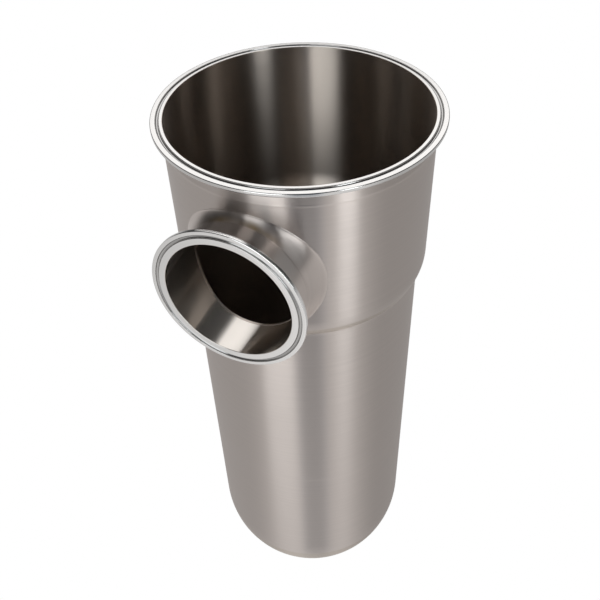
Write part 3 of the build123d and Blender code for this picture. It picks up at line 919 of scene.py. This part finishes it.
def perforated_floor():
    """Round floor: closed concentric rings of holes, a hair apart, between a middle disc and an edge band."""
    bottom, top, outer_r = low("basket_floor")[2], high("basket_floor")[2], high("basket_floor")[0]
    hair = 0.01 * MM
    rings = int(outer_r / HOLE_PITCH - 0.5)
    half = HOLE_PITCH / 2 - hair
    parts = [turned([(0, bottom), (half, bottom), (half, top), (0, top)], 24)]
    for k in range(1, rings + 1):
        ring_r, holes = k * HOLE_PITCH, 6 * k
        step = TAU / holes

        def place(u, v, w):
            r = ring_r + v
            return np.stack([r * np.cos(u / ring_r), r * np.sin(u / ring_r), np.full(np.shape(u), w)], -1)

        centres = [(i * step * ring_r, 0.0) for i in range(holes)]
        parts.append(perforated(centres, step * ring_r / 2, half, HOLE_R, place, bottom, top))
        turn = np.arange(holes * CELL_SIDE) * step / CELL_SIDE
        for r in (ring_r - half, ring_r + half):
            parts.append(bridge(level_loop(r, turn, top), level_loop(r, turn, bottom)))
    edge_r = (rings + 0.5) * HOLE_PITCH + hair
    edge = rounded([(edge_r, bottom), (outer_r, bottom), (outer_r, top), (edge_r, top)], [0, 0.4 * MM, 0, 0])
    parts.append(turned(edge))
    make_piece("floor_sheet", parts, perforated_steel, "basket", "basket_floor", crease=40)


def basket_liner():
    """Woven wire tube just inside the sleeve."""
    bottom, top, outer_r = low("basket_liner")[2], high("basket_liner")[2], high("basket_liner")[0]
    section = [(LINER_IN_R, bottom), (outer_r, bottom), (outer_r, top), (LINER_IN_R, top)]
    make_piece("liner_mesh", [turned(section)], mesh_steel, "basket", "basket_liner")


# --- bail, hinged on two lugs: pivots along X, bow folded towards +Y --------------------
PIVOT_Z = (high("bail_handle")[2] + low("bail_handle")[2]) / 2
ROD_R = (high("bail_handle")[2] - low("bail_handle")[2]) / 2
STUB_END_X = high("bail_handle")[0]
BOW_R, BEND_R = 80.0 * MM, 6.0 * MM
PIVOT_CLEARANCE = 0.08 * MM


def bail():
    """Bent wire: a round rod swept along stub, bend, half-circle bow, bend and stub."""
    turn_x = BOW_R + BEND_R
    bend = np.linspace(0, math.pi / 2, 13)[1:]
    bow = np.linspace(0, math.pi, 97)[1:-1]
    ease = ROD_R * 0.2
    right = [(STUB_END_X, 0), (STUB_END_X - ease, 0), (STUB_END_X - 3 * ease, 0), (turn_x, 0)]
    right += [(turn_x - BEND_R * math.sin(a), BEND_R - BEND_R * math.cos(a)) for a in bend]
    left = [(-x, y) for x, y in right[::-1]]
    path = np.array(right + [(BOW_R * math.cos(a), BEND_R + BOW_R * math.sin(a)) for a in bow] + left)
    along = np.gradient(path, axis=0)
    along /= np.linalg.norm(along, axis=1)[:, None]
    across = np.stack([-along[:, 1], along[:, 0]], -1)
    radius = np.full(len(path), ROD_R)
    radius[[0, -1]] = ROD_R - ease
    t = np.arange(32) * TAU / 32
    flat = path[:, None, :] + across[:, None, :] * (radius[:, None] * np.cos(t))[..., None]
    lift = PIVOT_Z + radius[:, None] * np.sin(t)
    points = np.concatenate([flat, lift[..., None]], -1)
    make_piece("bail_rod", [capped(points)], wire_steel, "bail", "bail_handle", crease=50)


def bail_lug(side_name):
    """Upright lug: round head about the pivot on straight sides, bored for the rod, edges bevelled."""
    node = f"bail_lug_{side_name}"
    (x0, y0, z0), (x1, y1, _) = low(node), high(node)
    half, foot, bevel, bore_r = (y1 - y0) / 2, PIVOT_Z - z0, 0.4 * MM, ROD_R + PIVOT_CLEARANCE
    corner = math.atan2(-foot, half)
    t = np.concatenate([
        np.linspace(corner, 0, 8)[:-1], np.linspace(0, math.pi, 33)[:-1],
        np.linspace(math.pi, math.pi - corner, 8)[:-1], np.linspace(math.pi - corner, TAU + corner, 17)[:-1],
    ])
    side_reach = half / np.maximum(np.abs(np.cos(t)), TINY)
    foot_reach = foot / np.maximum(-np.sin(t), TINY)
    reach = np.where(np.sin(t) >= -TINY, half, np.minimum(side_reach, foot_reach))
    bore = np.full(len(t), bore_r)
    loops = [
        (reach, x0 + bevel), (reach - bevel, x0), (bore + bevel, x0), (bore, x0 + bevel),
        (bore, x1 - bevel), (bore + bevel, x1), (reach - bevel, x1), (reach, x1 - bevel), (reach, x0 + bevel),
    ]
    points = np.stack([
        np.stack([np.full(len(t), x), r * np.cos(t), PIVOT_Z + r * np.sin(t)], -1) for r, x in loops
    ])
    make_piece(f"lug_{side_name}", [(points, quads(len(loops), len(t), True))], wire_steel, "basket", node)


def bail_washer(side_name):
    """Washer on the pivot stub, its edges eased."""
    node = f"bail_washer_{side_name}"
    x0, x1, outer_r = low(node)[0], high(node)[0], high(node)[1]
    outline = rounded([(ROD_R, x0), (outer_r, x0), (outer_r, x1), (ROD_R, x1)], [0, 0.3 * MM, 0.3 * MM, 0])
    points, faces = turned(outline, 64)
    points = np.stack([points[..., 2], points[..., 0], points[..., 1] + PIVOT_Z], -1)
    make_piece(f"washer_{side_name}", [(points, faces)], wire_steel, "bail", node)


perforated_sleeve()
perforated_floor()
basket_liner()
bail()
for side_name in ("left", "right"):
    bail_lug(side_name)
    bail_washer(side_name)


# --- studio -----------------------------------------------------------------------
FLOOR_HALF, FLOOR_GAP, FLOOR_GREY = 6.0, 0.02, 0.6


def studio_floor():
    """Pale plain floor: white to the camera, diffuse to the object, and open to its reflections."""
    mesh = bpy.data.meshes.new("studio_floor")
    half, level = FLOOR_HALF, low("bottom_cup")[2] - FLOOR_GAP
    corners = [(-half, -half, level), (half, -half, level), (half, half, level), (-half, half, level)]
    mesh.from_pydata(corners, [], [(0, 1, 2, 3)])
    material = bpy.data.materials.new("studio_floor")
    material.use_nodes = True
    tree = material.node_tree
    tree.nodes.remove(tree.nodes["Principled BSDF"])
    diffuse = tree.nodes.new("ShaderNodeBsdfDiffuse")
    diffuse.inputs["Color"].default_value = (FLOOR_GREY, FLOOR_GREY, FLOOR_GREY, 1)
    glow = tree.nodes.new("ShaderNodeEmission")
    glow.inputs["Color"].default_value = (1, 1, 1, 1)
    glow.inputs["Strength"].default_value = 1.0
    clear = tree.nodes.new("ShaderNodeBsdfTransparent")
    seen = tree.nodes.new("ShaderNodeLightPath")
    surface = diffuse.outputs[0]
    for ray, other in (("Is Glossy Ray", clear), ("Is Camera Ray", glow)):
        both = tree.nodes.new("ShaderNodeMixShader")
        tree.links.new(seen.outputs[ray], both.inputs["Fac"])
        tree.links.new(surface, both.inputs[1])
        tree.links.new(other.outputs[0], both.inputs[2])
        surface = both.outputs[0]
    tree.links.new(surface, tree.nodes["Material Output"].inputs["Surface"])
    mesh.materials.append(material)
    floor = bpy.data.objects.new("studio_floor", mesh)
    bpy.context.scene.collection.objects.link(floor)


VIEW_AZIMUTH = math.radians(24.5)
EYE_DISTANCE = 0.502
EYE_HEIGHT = 0.2786
EYE_PITCH = -0.7539
EYE_YAW = -0.0103
EYE_ROLL = -0.0421
LENS, SENSOR = 45.76, 36


def camera():
    """The eye stands at the view azimuth from the inlet's direction and looks down at the body."""
    turn = Matrix.Rotation(VIEW_AZIMUTH, 3, "Z")
    level_part = math.cos(EYE_PITCH)
    forward = turn @ Vector((math.sin(EYE_YAW) * level_part, math.cos(EYE_YAW) * level_part, math.sin(EYE_PITCH)))
    right = turn @ Vector((math.cos(EYE_YAW), -math.sin(EYE_YAW), 0))
    up = right.cross(forward)
    level_right = right * math.cos(EYE_ROLL) + up * math.sin(EYE_ROLL)
    level_up = up * math.cos(EYE_ROLL) - right * math.sin(EYE_ROLL)
    data = bpy.data.cameras.new("camera")
    data.lens = LENS
    data.sensor_width = SENSOR
    eye = bpy.data.objects.new("camera", data)
    turned_axes = Matrix((level_right, level_up, -forward)).transposed()
    eye.matrix_world = Matrix.Translation(turn @ Vector((0, -EYE_DISTANCE, EYE_HEIGHT))) @ turned_axes.to_4x4()
    bpy.context.scene.collection.objects.link(eye)
    bpy.context.scene.camera = eye


# Light from around the object: levels, and their edges in degrees (azimuth right of the view, elevation).
TABLE_FRONT, TABLE_LEFT, TABLE_RIGHT = 0.90, 0.65, 0.56
TABLE_LEFT_EDGE, TABLE_RIGHT_EDGE = (-70, -40), (40, 75)
FRONT_SHADE = 0.10             # dim strip on the viewer's side
SHADE_COLOUR = (0.80, 0.93, 1.14)
SHADE_START, SHADE_END, SHADE_FOOT = (-14, -4), (8, 20), (-39, -30)
ROOM, ROOM_FOOT = 0.06, (-15, 10)  # dim room above the table
CEILING = 1.5                  # bright panel behind the object and above
CEILING_SIDE, CEILING_FOOT, CEILING_TOP = (22, 38), (18, 28), (62, 72)
WHITE = (1.0, 1.0, 1.0)

LAMP_COLOUR = (0.95, 1.0, 1.03)
LAMP_DISTANCE, LAMP_TOP = 0.65, 0.45


def softbox(name, azimuth, width, bottom, radiance):
    """Upright soft light facing the body's axis, at an azimuth in degrees right of the view."""
    turn = VIEW_AZIMUTH + math.radians(azimuth)
    outward = Vector((math.sin(turn), -math.cos(turn), 0))
    up = Vector((0, 0, 1))
    data = bpy.data.lights.new(name, "AREA")
    data.shape = "RECTANGLE"
    data.size, data.size_y = width, LAMP_TOP - bottom
    data.color = LAMP_COLOUR
    data.energy = radiance * math.pi * width * (LAMP_TOP - bottom)
    lamp = bpy.data.objects.new(name, data)
    axes = Matrix((up.cross(outward), up, outward)).transposed()
    middle = outward * LAMP_DISTANCE + up * (LAMP_TOP + bottom) / 2
    lamp.matrix_world = Matrix.Translation(middle) @ axes.to_4x4()
    lamp.visible_camera = False
    bpy.context.scene.collection.objects.link(lamp)


def world():
    """Plain studio walls and a bright rear ceiling, white to the camera."""
    w = bpy.data.worlds.new("studio")
    bpy.context.scene.world = w
    w.use_nodes = True
    tree = w.node_tree
    rotate = tree.nodes.new("ShaderNodeVectorRotate")
    rotate.rotation_type = "Z_AXIS"
    rotate.inputs["Angle"].default_value = -VIEW_AZIMUTH
    tree.links.new(tree.nodes.new("ShaderNodeTexCoord").outputs["Generated"], rotate.inputs["Vector"])
    split = tree.nodes.new("ShaderNodeSeparateXYZ")
    tree.links.new(rotate.outputs[0], split.inputs[0])
    x, y, z = (split.outputs[label] for label in "XYZ")

    def degrees(operation, *sides):
        return math_node(tree, "MULTIPLY", math_node(tree, operation, *sides), 360 / TAU)

    azimuth = degrees("ARCTAN2", x, math_node(tree, "MULTIPLY", y, -1.0))
    elevation = degrees("ARCSINE", z)
    off_rear = math_node(tree, "ABSOLUTE", degrees("ARCTAN2", x, y))
    table = math_node(
        tree, "MINIMUM", map_range(tree, azimuth, *TABLE_LEFT_EDGE, TABLE_LEFT, TABLE_FRONT, smooth=True),
        map_range(tree, azimuth, *TABLE_RIGHT_EDGE, TABLE_FRONT, TABLE_RIGHT, smooth=True),
    )
    shade = math_node(
        tree, "MULTIPLY", window(tree, azimuth, SHADE_START, SHADE_END),
        map_range(tree, elevation, *SHADE_FOOT, smooth=True),
    )
    level = mix_value(tree, shade, table, FRONT_SHADE)
    level = mix_value(tree, map_range(tree, elevation, *ROOM_FOOT, smooth=True), level, ROOM)
    ceiling = math_node(
        tree, "MULTIPLY", map_range(tree, off_rear, *CEILING_SIDE, CEILING, 0.0, smooth=True),
        window(tree, elevation, CEILING_FOOT, CEILING_TOP),
    )
    level = math_node(tree, "MAXIMUM", level, ceiling)
    seen = tree.nodes.new("ShaderNodeLightPath").outputs["Is Camera Ray"]
    tinted = math_node(tree, "MULTIPLY", shade, math_node(tree, "SUBTRACT", 1.0, seen))
    background = tree.nodes["Background"]
    feed(tree, background.inputs["Color"], mix_colour(tree, tinted, WHITE, SHADE_COLOUR))
    feed(tree, background.inputs["Strength"], math_node(tree, "MAXIMUM", level, seen))


studio_floor()
camera()
softbox("left_softbox", azimuth=-25.0, width=0.30, bottom=-0.30, radiance=1.9)
softbox("right_softbox", azimuth=32.0, width=0.16, bottom=-0.03, radiance=4.4)
world()
bpy.context.scene.view_settings.view_transform = "Standard"
